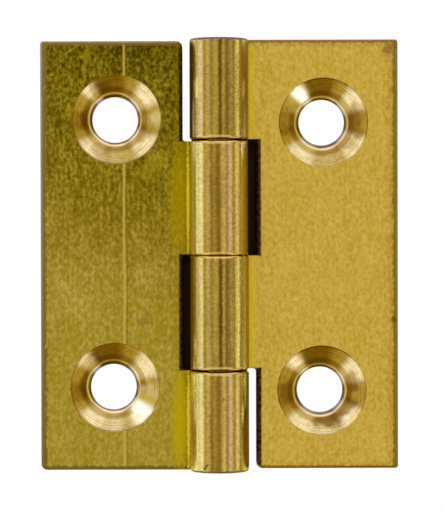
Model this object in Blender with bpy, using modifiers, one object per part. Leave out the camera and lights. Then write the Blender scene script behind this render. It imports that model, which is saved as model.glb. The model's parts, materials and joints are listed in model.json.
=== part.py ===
"""Rolled brass butt hinge, lying open and flat with its countersunk side up.

Two leaves are stamped from the same sheet blank and turned half round from each other. Each blank
has two tongues, which are rolled round the pin to make knuckles, and two countersunk screw holes.
Metres, +Z up, +Y along the pin. The left leaf reaches to -X and the right one to +X.
"""

import math

import bmesh
import bpy
from mathutils import Matrix, Vector

MM = 0.001

# Leaf blank
LEAF_LENGTH = 30.0 * MM
LEAF_REACH = 12.5 * MM  # from the pin's axis to the leaf's long outer edge
SHEET = 1.1 * MM
EDGE_ROUND = 0.15 * MM  # rounding left on the sheet's edges by the punch and by tumbling
MOUTH_CORNER = 0.3 * MM  # corner radii are those of the flat face, inside the edge rounding
WORN_CORNER = 0.3 * MM
CRISP_CORNER = 0.05 * MM
TONGUE_CORNER = 0.05 * MM

# Barrel
PIN_DIAMETER = 1.84 * MM
PIN_CLEARANCE = 0.03 * MM  # radial
PIN_RECESS = 0.12 * MM  # each end of the pin inside the knuckle that holds it
PIN_CHAMFER = 0.15 * MM
INNER_KNUCKLE = 8.0 * MM  # pitch of the two middle knuckles; the end knuckles share the rest
KNUCKLE_GAP = 0.10 * MM  # along the pin, between neighbours
END_FLOAT = 0.08 * MM  # how far the right leaf has slid along the pin
SLOT_CLEARANCE = 0.5 * MM  # between a knuckle and the slot edge of the other leaf
SEAM_GAP = 0.04 * MM  # between a rolled tongue's tip and the leaf that it curls back to

# Screw holes, one by the open slot and one by the end knuckle
HOLE_DIAMETER = 3.2 * MM
COUNTERSINK_DIAMETER = 6.25 * MM
COUNTERSINK_ANGLE = math.radians(118.0)
HOLE_DRIFT = 0.13 * MM  # the through holes lie this far to -X of their countersinks
SLOT_HOLE_FROM_AXIS = 7.16 * MM
SLOT_HOLE_FROM_END = 5.48 * MM
KNUCKLE_HOLE_FROM_AXIS = 7.31 * MM
KNUCKLE_HOLE_FROM_END = 5.78 * MM

# Facets
ROLL_STEPS = 40
CORNER_STEPS = 3
EDGE_STEPS = 1
HOLE_SIDES = 48
PIN_SIDES = 40
CUT_MARGIN = 0.5 * MM  # how far a cutter stands out of the sheet
MERGE = 0.0001 * MM  # points closer than this are one
FLAT_ANGLE = math.radians(0.5)  # faces closer in tilt than this are one flat face
SMOOTH_ANGLE = math.radians(30)  # sharper edges than this show
CHAMFER_ANGLE = math.radians(60)  # sharper edges than this are chamfered

BORE_RADIUS = PIN_DIAMETER / 2 + PIN_CLEARANCE
BARREL_RADIUS = BORE_RADIUS + SHEET
SLOT_EDGE = BARREL_RADIUS + SLOT_CLEARANCE
ROLL_RADIUS = BARREL_RADIUS - SHEET / 2  # the sheet's middle keeps its length
ROLL_ANGLE = 1.5 * math.pi + math.asin((BORE_RADIUS - SEAM_GAP) / BARREL_RADIUS)
TONGUE = ROLL_ANGLE * ROLL_RADIUS


def clear_scene():
    for obj in list(bpy.data.objects):
        bpy.data.objects.remove(obj, do_unlink=True)


def new_collection(name):
    collection = bpy.data.collections.new(name)
    bpy.context.scene.collection.children.link(collection)
    return collection


def brass(name, colour, roughness):
    material = bpy.data.materials.new(name)
    material.use_nodes = True
    shader = material.node_tree.nodes["Principled BSDF"]
    shader.inputs["Base Color"].default_value = (*colour, 1.0)
    shader.inputs["Metallic"].default_value = 1.0
    shader.inputs["Roughness"].default_value = roughness
    return material


def add_object(name, mesh, collection, material=None):
    obj = bpy.data.objects.new(name, mesh)
    collection.objects.link(obj)
    if material:
        mesh.materials.append(material)
    return obj


def shade_round(mesh):
    mesh.shade_smooth()
    mesh.set_sharp_from_angle(angle=SMOOTH_ANGLE)


def rounded_corner(before, corner, after, radius):
    """Points of the arc that rounds one corner of an outline, in the outline's own order."""
    corner = Vector(corner)
    backward = (Vector(before) - corner).normalized()
    forward = (Vector(after) - corner).normalized()
    inward = (backward + forward).normalized()
    opening = backward.angle(forward)
    centre = corner + inward * radius / math.sin(opening / 2)
    side = math.copysign(1.0, forward.cross(backward))
    sweep = side * (math.pi - opening)
    points = []
    for step in range(CORNER_STEPS + 1):
        turn = Matrix.Rotation((step / CORNER_STEPS - 0.5) * sweep, 2)
        points.append(centre - turn @ inward * radius)
    return points


def blank_outline(slot_corner, knuckle_corner):
    """The flat blank seen from above: a leaf to -X with two tongues that reach past the axis."""
    end = LEAF_LENGTH / 2
    gap = KNUCKLE_GAP / 2
    corners = [
        (-LEAF_REACH, -end, knuckle_corner),
        (TONGUE, -end, TONGUE_CORNER),
        (TONGUE, -INNER_KNUCKLE - gap, TONGUE_CORNER),
        (-SLOT_EDGE, -INNER_KNUCKLE - gap, TONGUE_CORNER),
        (-SLOT_EDGE, gap, TONGUE_CORNER),
        (TONGUE, gap, TONGUE_CORNER),
        (TONGUE, INNER_KNUCKLE - gap, TONGUE_CORNER),
        (-SLOT_EDGE, INNER_KNUCKLE - gap, TONGUE_CORNER),
        (-SLOT_EDGE, end, MOUTH_CORNER),
        (-LEAF_REACH, end, slot_corner),
    ]
    points = []
    for index, (x, y, radius) in enumerate(corners):
        before = corners[index - 1][:2]
        after = corners[(index + 1) % len(corners)][:2]
        points += rounded_corner(before, (x, y), after, radius + EDGE_ROUND)
    return points


def flat_blank(outline):
    """Mesh of the sheet blank, its edges rounded, lying on Z = 0."""
    curve = bpy.data.curves.new("blank", "CURVE")
    curve.dimensions = "2D"
    curve.fill_mode = "BOTH"
    curve.extrude = SHEET / 2 - EDGE_ROUND
    curve.bevel_depth = EDGE_ROUND
    curve.bevel_resolution = EDGE_STEPS
    curve.offset = -EDGE_ROUND
    spline = curve.splines.new("POLY")
    spline.points.add(len(outline) - 1)
    for point, (x, y) in zip(spline.points, outline):
        point.co = (x, y, 0.0, 1.0)
    spline.use_cyclic_u = True
    guide = bpy.data.objects.new("blank", curve)
    bpy.context.scene.collection.objects.link(guide)
    evaluated = guide.evaluated_get(bpy.context.evaluated_depsgraph_get())
    mesh = bpy.data.meshes.new_from_object(evaluated)
    bpy.data.objects.remove(guide)
    sheet = bmesh.new()
    sheet.from_mesh(mesh)
    bmesh.ops.remove_doubles(sheet, verts=sheet.verts, dist=MERGE)
    bmesh.ops.dissolve_limit(
        sheet, angle_limit=FLAT_ANGLE, verts=sheet.verts, edges=sheet.edges, delimit=set()
    )
    bmesh.ops.recalc_face_normals(sheet, faces=sheet.faces)
    bmesh.ops.translate(sheet, verts=sheet.verts, vec=(0.0, 0.0, SHEET / 2))
    bpy.data.meshes.remove(mesh)
    return sheet


def roll_tongues(sheet):
    """Wraps everything past the axis round the pin, and moves the origin onto the pin's axis."""
    for step in range(ROLL_STEPS):
        everything = sheet.verts[:] + sheet.edges[:] + sheet.faces[:]
        station = TONGUE * step / ROLL_STEPS
        bmesh.ops.bisect_plane(
            sheet, geom=everything, dist=MERGE, plane_co=(station, 0, 0), plane_no=(1, 0, 0)
        )
    for vert in sheet.verts:
        x, _, z = vert.co
        radius = BARREL_RADIUS - z
        angle = max(x, 0.0) / ROLL_RADIUS
        vert.co.x = min(x, 0.0) + radius * math.sin(angle)
        vert.co.z = -radius * math.cos(angle)


def add_cutter(name, leaf, cutters, place, top_radius, bottom_radius, bottom):
    """A round cutter that stands upright through the leaf, from bottom to above its front face."""
    top = SHEET + CUT_MARGIN
    shape = bmesh.new()
    bmesh.ops.create_cone(
        shape,
        cap_ends=True,
        segments=HOLE_SIDES,
        radius1=bottom_radius,
        radius2=top_radius,
        depth=top - bottom,
    )
    height = (top + bottom) / 2 - BARREL_RADIUS
    bmesh.ops.translate(shape, verts=shape.verts, vec=(place[0], place[1], height))
    mesh = bpy.data.meshes.new(name)
    shape.to_mesh(mesh)
    shape.free()
    cutter = add_object(name, mesh, cutters)
    cutter.parent = leaf
    cutter.hide_render = True
    cutter.display_type = "WIRE"
    cut = leaf.modifiers.new(name, "BOOLEAN")
    cut.operation = "DIFFERENCE"
    cut.solver = "EXACT"
    cut.object = cutter


def drill_screw_hole(leaf, cutters, label, place, drift):
    """A countersink, and a through hole whose axis lies a little beside it."""
    hole = HOLE_DIAMETER / 2
    rim = COUNTERSINK_DIAMETER / 2
    slope = math.tan(COUNTERSINK_ANGLE / 2)
    wide = rim + CUT_MARGIN * slope
    narrow = hole - 2 * abs(drift)  # the cone's blunt tip, well inside the hole
    floor = SHEET - (rim - narrow) / slope
    beside = (place[0] + drift, place[1])
    add_cutter(f"{label}_hole", leaf, cutters, beside, hole, hole, -CUT_MARGIN)
    add_cutter(f"{label}_countersink", leaf, cutters, place, wide, narrow, floor)


def add_leaf(name, parts, cutters, material, turned, worn_corner, float_y):
    """One leaf on the pin's axis; turned is True for the one that reaches to +X."""
    sheet = flat_blank(blank_outline(CRISP_CORNER, worn_corner))
    roll_tongues(sheet)
    mesh = bpy.data.meshes.new(name)
    sheet.to_mesh(mesh)
    sheet.free()
    shade_round(mesh)
    leaf = add_object(name, mesh, parts, material)
    leaf.location = (0.0, float_y, BARREL_RADIUS)
    leaf.rotation_euler = (0.0, 0.0, math.pi if turned else 0.0)
    drift = HOLE_DRIFT if turned else -HOLE_DRIFT
    slot_hole = (-SLOT_HOLE_FROM_AXIS, LEAF_LENGTH / 2 - SLOT_HOLE_FROM_END)
    knuckle_hole = (-KNUCKLE_HOLE_FROM_AXIS, KNUCKLE_HOLE_FROM_END - LEAF_LENGTH / 2)
    drill_screw_hole(leaf, cutters, f"{name}_slot_end", slot_hole, drift)
    drill_screw_hole(leaf, cutters, f"{name}_knuckle_end", knuckle_hole, drift)
    return leaf


def add_pin(parts, material):
    """The drawn wire pin, chamfered at both ends and held by the left leaf's knuckles."""
    wire = bmesh.new()
    bmesh.ops.create_cone(
        wire,
        cap_ends=True,
        segments=PIN_SIDES,
        radius1=PIN_DIAMETER / 2,
        radius2=PIN_DIAMETER / 2,
        depth=LEAF_LENGTH - 2 * PIN_RECESS,
    )
    mesh = bpy.data.meshes.new("hinge_pin")
    wire.to_mesh(mesh)
    wire.free()
    shade_round(mesh)
    pin = add_object("hinge_pin", mesh, parts, material)
    pin.location = (0.0, 0.0, BARREL_RADIUS)
    pin.rotation_euler = (math.pi / 2, 0.0, 0.0)
    chamfer = pin.modifiers.new("chamfer", "BEVEL")
    chamfer.width = PIN_CHAMFER
    chamfer.segments = 1
    chamfer.limit_method = "ANGLE"
    chamfer.angle_limit = CHAMFER_ANGLE
    return pin


def main():
    clear_scene()
    parts = new_collection("mortise_hinge")
    cutters = new_collection("hinge_cutters")
    mottled = brass("rolled_brass_mottled", (0.31, 0.22, 0.03), 0.42)
    golden = brass("rolled_brass_golden", (0.50, 0.34, 0.05), 0.38)
    drawn = brass("drawn_brass_wire", (0.56, 0.40, 0.10), 0.30)
    add_leaf("left_leaf", parts, cutters, mottled, False, WORN_CORNER, -END_FLOAT / 2)
    add_leaf("right_leaf", parts, cutters, golden, True, CRISP_CORNER, END_FLOAT / 2)
    add_pin(parts, drawn)


main()
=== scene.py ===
"""Looks of a small rolled brass butt hinge that lies open and flat, countersunk side up.

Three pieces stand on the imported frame: two stamped and rolled leaves and the wire pin between
them. The sizes below are in millimetres, and the meshes are in metres in the frame's own axes:
+Y along the pin, +X towards the right leaf, +Z up out of the countersunk faces.
"""

import json
import logging
import math
from collections.abc import Callable, Iterable
from dataclasses import dataclass, field
from enum import Enum
from typing import Any

import bmesh
import bpy
from mathutils import Matrix, Vector


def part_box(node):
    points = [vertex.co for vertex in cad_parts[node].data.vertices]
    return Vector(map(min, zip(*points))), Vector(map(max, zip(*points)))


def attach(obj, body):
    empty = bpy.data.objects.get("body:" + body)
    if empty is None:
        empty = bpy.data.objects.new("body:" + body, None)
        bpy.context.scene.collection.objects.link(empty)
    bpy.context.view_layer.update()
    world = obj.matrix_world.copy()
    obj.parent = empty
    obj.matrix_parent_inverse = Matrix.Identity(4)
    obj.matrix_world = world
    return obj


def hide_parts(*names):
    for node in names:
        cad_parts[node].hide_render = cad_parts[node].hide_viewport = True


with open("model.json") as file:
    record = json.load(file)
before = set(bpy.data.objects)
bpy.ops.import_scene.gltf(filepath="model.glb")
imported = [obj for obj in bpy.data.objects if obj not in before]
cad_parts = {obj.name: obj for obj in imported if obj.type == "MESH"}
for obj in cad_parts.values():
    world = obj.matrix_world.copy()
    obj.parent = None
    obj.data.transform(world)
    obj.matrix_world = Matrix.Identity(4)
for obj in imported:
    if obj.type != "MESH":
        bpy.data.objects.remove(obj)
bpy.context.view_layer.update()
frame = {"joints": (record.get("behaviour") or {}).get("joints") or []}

MM = 0.001
CLOSE = 0.002  # mm, within which a point is taken to lie on a plane
FLAT = math.radians(1.0)  # faces closer in tilt than this are one flat face
CUT_CLEARANCE = 0.5  # mm, how far a cutter goes past the sheet
SHARP = math.radians(25.0)  # edges that turn less than this are shaded smooth
SHEET_ATTRIBUTE = "sheet_mm"
FRAYED_EDGE = (1.8, 1.1)  # half lengths of a mark from its middle, where it ends and is full
FRAY = 1.2  # half lengths, how far the noise moves that edge in all
GRAIN_TURN = (0.4, 0.3, 0.6)  # radians, so that the noise's own grid doesn't show
STREAK_TURN = (0.3, 0.5, 0.4)

Tree = bpy.types.NodeTree
Source = bpy.types.Node | bpy.types.NodeSocket  # a node stands for its first output

log = logging.getLogger("hinge")


class Side(Enum):
    """Which way a leaf reaches from the pin."""

    LEFT = -1
    RIGHT = 1


class Element(Enum):
    """Kind of mesh element that a selection is made of."""

    EDGE = "EDGE"
    FACE = "FACE"


def linear(colour: str, alpha: float = 1.0) -> tuple[float, float, float, float]:
    """Turns an sRGB colour to the linear one that shaders take.

    Args:
        colour: Six hex digits.
        alpha: Opacity.

    Returns:
        Linear red, green, blue and alpha.
    """
    channels = []
    for start in (0, 2, 4):
        value = int(colour[start : start + 2], 16) / 255
        channels.append(value / 12.92 if value <= 0.04045 else ((value + 0.055) / 1.055) ** 2.4)
    return (*channels, alpha)


def connect(tree: Tree, node: bpy.types.Node, inputs: dict[str | int, Any]) -> None:
    """Sets or links a node's inputs.

    Args:
        tree: Node tree that the node is in.
        node: The node.
        inputs: Numbers, colours or sources for its inputs, by name or index.
    """
    for key, value in inputs.items():
        if isinstance(value, bpy.types.Node):
            value = value.outputs[0]
        if isinstance(value, bpy.types.NodeSocket):
            tree.links.new(value, node.inputs[key])
        else:
            node.inputs[key].default_value = value


def add_node(
    tree: Tree, kind: str, inputs: dict[str | int, Any] | None = None, **settings: Any
) -> bpy.types.Node:
    """Adds a node, sets it up and links it.

    Args:
        tree: Node tree that the node goes into.
        kind: Blender's identifier of the node, without the ShaderNode it starts with.
        inputs: Numbers, colours or sources for its inputs, by name or index.
        settings: Property values of the node.

    Returns:
        The new node.
    """
    node = tree.nodes.new("ShaderNode" + kind)
    for name, value in settings.items():
        setattr(node, name, value)
    connect(tree, node, inputs or {})
    return node


def blend_colours(tree: Tree, amount: Any, first: Any, second: Any, mode: str = "MIX") -> Source:
    """Blends two colours by an amount, 0 for the first and 1 for the second."""
    inputs = {0: amount, 6: first, 7: second}
    return add_node(tree, "Mix", inputs, data_type="RGBA", blend_type=mode).outputs[2]


def fade(tree: Tree, value: Source, start: float, full: float, share: float = 1.0) -> Source:
    """Makes a mask that rises smoothly from 0 at the start value to its share at the full one."""
    span = {"Value": value, "From Min": start, "From Max": full, "To Max": share}
    return add_node(tree, "MapRange", span, interpolation_type="SMOOTHSTEP")


def add_ramp(tree: Tree, share: Source, colours: Iterable[tuple[float, str]]) -> Source:
    """Adds a colour ramp.

    Args:
        tree: Node tree that the ramp goes into.
        share: Where along the ramp the colour is taken, from 0 to 1.
        colours: Places along the ramp, in order, each with its colour.

    Returns:
        Socket of the colour.
    """
    ramp = add_node(tree, "ValToRGB", {"Fac": share})
    stops = ramp.color_ramp.elements
    for index, (place, colour) in enumerate(colours):
        stop = stops[index] if index < 2 else stops.new(place)
        stop.position = place
        stop.color = linear(colour)
    return ramp.outputs["Color"]


def start_material(name: str) -> tuple[bpy.types.Material, Tree]:
    """Makes a material that is ready for its nodes.

    Args:
        name: Name of the material.

    Returns:
        The material and its node tree.
    """
    material = bpy.data.materials.new(name)
    material.use_nodes = True
    return material, material.node_tree


def finish_metal(tree: Tree, colour: Source, roughness: Any, relief: Source) -> None:
    """Gives the shader of a metal its colour, its roughness and the normals of its relief."""
    surface = {"Base Color": colour, "Metallic": 1.0, "Roughness": roughness, "Normal": relief}
    connect(tree, tree.nodes["Principled BSDF"], surface)


def select_only(obj: bpy.types.Object) -> None:
    """Makes an object the active one and the only selected one.

    Args:
        obj: The object.
    """
    bpy.ops.object.select_all(action="DESELECT")
    bpy.context.view_layer.objects.active = obj
    obj.select_set(True)


def work_on(obj: bpy.types.Object) -> None:
    """Makes an object the only selected one, and opens it in edit mode."""
    select_only(obj)
    bpy.ops.object.mode_set(mode="EDIT")


def stop_work() -> None:
    """Closes edit mode."""
    bpy.ops.object.mode_set(mode="OBJECT")


def pick(obj: bpy.types.Object, kind: Element, test: Callable[[Any], bool]) -> int:
    """Selects the edges or faces that pass a test, and nothing else.

    Args:
        obj: Object that is open in edit mode.
        kind: Whether edges or faces are tested.
        test: Takes an element and says whether it is wanted.

    Returns:
        How many were selected.
    """
    bpy.ops.mesh.select_mode(type=kind.value)
    bpy.ops.mesh.select_all(action="DESELECT")
    cage = bmesh.from_edit_mesh(obj.data)
    chosen = [item for item in (cage.edges if kind is Element.EDGE else cage.faces) if test(item)]
    for item in chosen:
        item.select_set(True)
    cage.select_flush_mode()
    bmesh.update_edit_mesh(obj.data)
    return len(chosen)


def middle(edge: bmesh.types.BMEdge) -> Vector:
    """Gives the middle of an edge, in millimetres."""
    return (edge.verts[0].co + edge.verts[1].co) / 2 / MM


def apply_all(obj: bpy.types.Object) -> None:
    """Applies every modifier of an object, in order.

    Args:
        obj: Object whose modifiers become part of its mesh.
    """
    select_only(obj)
    for modifier in list(obj.modifiers):
        bpy.ops.object.modifier_apply(modifier=modifier.name)


def settle(obj: bpy.types.Object) -> None:
    """Puts an object's place, turn and scale into its mesh."""
    select_only(obj)
    bpy.ops.object.transform_apply(location=True, rotation=True, scale=True)


@dataclass(frozen=True)
class SheetSizes:
    """Sizes of the stamped blank and its roll, in millimetres."""

    length: float = 30.0
    reach: float = 12.5
    thickness: float = 1.1
    inner_knuckle: float = 8.0
    knuckle_gap: float = 0.1
    step_gap: float = 0.02
    slot_clearance: float = 0.5
    seam_gap: float = 0.04
    axis_height: float = frame["joints"][0]["pos_m"][2] / MM

    @property
    def bore_radius(self) -> float:
        """Inner radius of the rolled knuckles."""
        return self.axis_height - self.thickness

    @property
    def slot_edge(self) -> float:
        """Distance of the slots' long edges from the axis."""
        return self.axis_height + self.slot_clearance

    @property
    def roll_angle(self) -> float:
        """Angle in radians that a tongue is rolled through, from flat to just above its leaf."""
        return 1.5 * math.pi + math.asin((self.bore_radius - self.seam_gap) / self.axis_height)

    @property
    def tongues(self) -> list[tuple[float, float]]:
        """Lower and upper Y of the two tongues of a blank that lies to the left of the pin."""
        step = self.step_gap / 2
        return [
            (-self.length / 2, -self.inner_knuckle - step),
            (self.knuckle_gap / 2, self.inner_knuckle - step),
        ]


@dataclass(frozen=True)
class EdgeSizes:
    """Radii in millimetres that the punch, the tumbling and use left on the blank."""

    crisp_corner: float = 0.2
    worn_corner: float = 0.45
    mouth_corner: float = 0.45
    root_corner: float = 0.22
    front: float = 0.16
    back: float = 0.10
    slot_front: float = 0.36
    bore: float = 0.10
    inner_lip: float = 0.18
    outer_lip: float = 0.3


@dataclass(frozen=True)
class ScrewHole:
    """A countersunk hole, in millimetres, on a leaf that lies to the left of the pin."""

    from_axis: float
    along: float
    diameter: float = 3.2
    rim_diameter: float = 6.25
    cone_angle: float = 118.0
    drift: float = 0.13


@dataclass(frozen=True)
class Mark:
    """A stain, scratch or nick on the sheet, or a painted highlight, reflection or shade, placed
    in millimetres on the flat blank.
    """

    across: float
    along: float
    half_length: float
    half_width: float
    turn: float  # degrees
    tint: str
    strength: float

    def lay_over(self, tree: Tree, place: Source, colour: Source, fraying: float = 7.0) -> Source:
        """Lays the mark over a colour.

        Args:
            tree: Node tree of the material.
            place: Place on the flat sheet, in millimetres.
            colour: Colour of the sheet.
            fraying: How finely its edge frays, per millimetre.

        Returns:
            Socket of the colour with the mark.
        """
        centred = add_node(
            tree,
            "Mapping",
            {
                "Vector": place,
                "Location": (self.across, self.along, 0.0),
                "Rotation": (0.0, 0.0, math.radians(self.turn)),
                "Scale": (self.half_length, self.half_width, 1000.0),
            },
            vector_type="TEXTURE",
        )
        ragged = add_node(tree, "TexNoise", {"Vector": place, "Scale": fraying, "Detail": 1.0})
        reach = add_node(tree, "VectorMath", {0: centred}, operation="LENGTH").outputs["Value"]
        frayed = add_node(tree, "Math", {0: ragged, 1: FRAY, 2: reach}, operation="MULTIPLY_ADD")
        share = fade(tree, frayed, *FRAYED_EDGE, self.strength)
        return blend_colours(tree, share, colour, linear(self.tint))


@dataclass(frozen=True)
class Rim:
    """A band of browning along the outline of a leaf, in millimetres."""

    width: float
    core: float  # distance from the outline within which it has its full strength
    strength: float
    low_tint: str  # at the end with the lower Y of a leaf that lies to the left of the pin
    high_tint: str


@dataclass(frozen=True)
class SheetFinish:
    """Mill-rolled brass sheet, stamped and tumbled.

    It gives a satin metal with a fine grain along the pin, cloudy where it has tarnished.
    """

    name: str
    shades: tuple[tuple[float, str, str], ...]  # along in mm, darker and lighter colour
    fleck: float  # mm, size of the tarnish flecks
    contrast: float
    roughness: float
    # Painted reflection: a yellow tint on the front beside the barrel, where the sheet reflects
    # the barrel.
    root_reflection_tint: str
    root_reflection_share: float
    root_reflection_start: float  # mm across the sheet, where the painted reflection at the root begins
    clouds: float  # share of the cloudy tarnish in the shades
    slant: float  # how far the shades' change along the leaf leans towards the pin
    rims: tuple[Rim, ...]
    die_line: float | None = None  # mm from the axis
    # The die line's light and the shade beside it: mm from the line, half width, tint, strength
    die_light: tuple[float, float, str, float] = (0.0, 0.13, "c8b058", 0.85)
    die_shade: tuple[float, float, str, float] = (0.20, 0.10, "6f5510", 0.35)
    die_core: float = 0.2  # share of either band's width that has its full strength
    die_wander: float = 0.12  # mm, how far the noise shifts the die line in all
    die_bends: float = 0.18  # per mm
    end_share: float = 1.0  # how much narrower the rims are at the leaf's ends
    marks: tuple[Mark, ...] = ()
    seed: float = 0.0
    streaks: float = 0.3  # share of the rolling streaks in the shades
    grain_stretch: float = 0.75  # of the flecks and clouds, along the pin
    cloud_scale: float = 0.45  # per mm
    streak_stretch: float = 0.08  # of the rolling streaks, along the pin
    streak_scale: float = 5.0  # per mm
    slant_middle: float = 8.0  # mm from the axis, where the shades have their stated places
    unevenness: float = 0.05  # of the roughness, either way
    bump: float = 0.25  # strength of the relief
    bump_depth: float = 0.004  # mm
    tarnish: float = 1.0  # above 1, the darker shade covers more and the lighter one is in flecks

    @property
    def middle_shade(self) -> float:
        """Mean of the pattern that the flecks, the clouds and the streaks add up to."""
        return (1 + self.clouds + self.streaks) / 2

    def shade_ramp(self, tree: Tree, along: Source, which: int) -> Source:
        """Makes a colour that changes from one end of the leaf to the other.

        Args:
            tree: Node tree of the material.
            along: Socket with the place along the pin, in millimetres.
            which: 1 for the darker shades and 2 for the lighter ones.

        Returns:
            Socket of the colour.
        """
        half = LEAF.length / 2
        share = add_node(tree, "MapRange", {"Value": along, "From Min": -half, "From Max": half})
        stops = (((shade[0] + half) / LEAF.length, shade[which]) for shade in sorted(self.shades))
        return add_ramp(tree, share, stops)

    def material(self) -> bpy.types.Material:
        """Makes the material.

        Returns:
            The material for the flat faces of a leaf.
        """
        material, tree = start_material(self.name)
        place = add_node(tree, "Attribute", attribute_name=SHEET_ATTRIBUTE).outputs["Vector"]
        parts = add_node(tree, "SeparateXYZ", {0: place})
        across, along = parts.outputs[0], parts.outputs[1]
        grain = ((self.seed, self.seed, 0.0), GRAIN_TURN, (1.0, self.grain_stretch, 1.0))
        rolled = ((self.seed, 0.0, 0.0), STREAK_TURN, (1.0, self.streak_stretch, 1.0))
        grain_place, streak_place = (
            add_node(tree, "Mapping", {0: place, 1: shift, 2: turn, 3: stretch})
            for shift, turn, stretch in (grain, rolled)
        )
        flecks = {"Scale": 1 / self.fleck, "Detail": 3.0, "Roughness": 0.6}
        fleck = add_node(tree, "TexNoise", {"Vector": grain_place, **flecks})
        cloud, streak = (
            add_node(tree, "TexNoise", {"Vector": spot, "Scale": scale, "Detail": 2.0})
            for spot, scale in ((grain_place, self.cloud_scale), (streak_place, self.streak_scale))
        )
        streaked: Source = fleck
        for pattern, share in ((cloud, self.clouds), (streak, self.streaks)):
            layers = {0: pattern, 1: share, 2: streaked}
            streaked = add_node(tree, "Math", layers, operation="MULTIPLY_ADD")
        spread = 0.5 / self.contrast
        low, high = self.middle_shade - spread, self.middle_shade + spread
        lightness = add_node(
            tree, "MapRange", {"Value": streaked, "From Min": low, "From Max": high}
        )
        bent = add_node(tree, "Math", {0: lightness, 1: self.tarnish}, operation="POWER")
        lean = {0: across, 1: self.slant, 2: along}
        leaning = add_node(tree, "Math", lean, operation="MULTIPLY_ADD")
        upright = {0: leaning, 1: self.slant_middle * self.slant}
        straight = add_node(tree, "Math", upright, operation="ADD")
        dark, light = (self.shade_ramp(tree, straight, which) for which in (1, 2))
        plain = blend_colours(tree, bent, dark, light)
        front = plain
        if self.die_line is not None:
            front = self.draw_die_line(tree, front, across, along)
        # Painted reflection of the barrel on the front beside it.
        root = fade(tree, across, self.root_reflection_start, -LEAF.axis_height, self.root_reflection_share)
        front = blend_colours(tree, root, front, linear(self.root_reflection_tint))
        on_front = add_node(
            tree, "Math", {0: parts.outputs[2], 1: LEAF.thickness / 2}, operation="GREATER_THAN"
        )
        colour = blend_colours(tree, on_front, plain, front)
        colour = self.brown_rims(tree, colour, across, along, streaked)
        marked = colour
        for mark in self.marks:
            marked = mark.lay_over(tree, place, marked)
        colour = blend_colours(tree, on_front, colour, marked)
        dullest, shiniest = self.roughness + self.unevenness, self.roughness - self.unevenness
        sheen = {"From Min": 0.3, "From Max": 0.7, "To Min": dullest, "To Max": shiniest}
        rough = add_node(tree, "MapRange", {"Value": fleck, **sheen})
        bump = {"Strength": self.bump, "Distance": self.bump_depth * MM, "Height": streaked}
        relief = add_node(tree, "Bump", bump)
        finish_metal(tree, colour, rough, relief)
        return material

    def brown_rims(
        self, tree: Tree, colour: Source, across: Source, along: Source, noise: Source
    ) -> Source:
        """Lays the browning that handling left along the outline over a colour.

        Args:
            tree: Node tree of the material.
            colour: Colour of the sheet.
            across: Distance from the axis along the sheet, in millimetres.
            along: Place along the pin, in millimetres.
            noise: Pattern that makes the browning ragged.

        Returns:
            Socket of the colour with the rims.
        """
        from_side = add_node(tree, "Math", {0: across, 1: LEAF.reach}, operation="ADD")
        length = add_node(tree, "Math", {0: along}, operation="ABSOLUTE")
        from_end = add_node(tree, "Math", {0: LEAF.length / 2, 1: length}, operation="SUBTRACT")
        narrower = add_node(tree, "Math", {0: from_end, 1: self.end_share}, operation="DIVIDE")
        nearest = add_node(tree, "Math", {0: from_side, 1: narrower}, operation="MINIMUM")
        height = add_node(
            tree,
            "MapRange",
            {"Value": along, "From Min": -LEAF.length / 2, "From Max": LEAF.length / 2},
        )
        centred = add_node(tree, "Math", {0: noise, 1: self.middle_shade}, operation="SUBTRACT")
        for rim in self.rims:
            ragged = add_node(
                tree, "Math", {0: centred, 1: rim.width, 2: nearest}, operation="MULTIPLY_ADD"
            )
            band = fade(tree, ragged, rim.width, rim.core, rim.strength)
            tint = blend_colours(tree, height, linear(rim.low_tint), linear(rim.high_tint))
            colour = blend_colours(tree, band, colour, tint)
        return colour

    def draw_die_line(self, tree: Tree, colour: Source, across: Source, along: Source) -> Source:
        """Lays the bright line that a worn die drew along the sheet over a colour.

        Args:
            tree: Node tree of the material.
            colour: Colour of the sheet.
            across: Distance from the axis along the sheet, in millimetres.
            along: Place along the pin, in millimetres.

        Returns:
            Socket of the colour with the line.
        """
        bends = {"W": along, "Scale": self.die_bends, "Detail": 1.0}
        wander = add_node(tree, "TexNoise", bends, noise_dimensions="1D")
        bent = {0: wander, 1: self.die_wander, 2: across}
        shifted = add_node(tree, "Math", bent, operation="MULTIPLY_ADD")
        for offset, half_width, tint, strength in (self.die_shade, self.die_light):
            place = offset - self.die_line + self.die_wander / 2
            apart = add_node(tree, "Math", {0: shifted, 1: place}, operation="SUBTRACT")
            distance = add_node(tree, "Math", {0: apart}, operation="ABSOLUTE")
            line = fade(tree, distance, half_width, self.die_core * half_width, strength)
            colour = blend_colours(tree, line, colour, linear(tint))
        return colour


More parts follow.
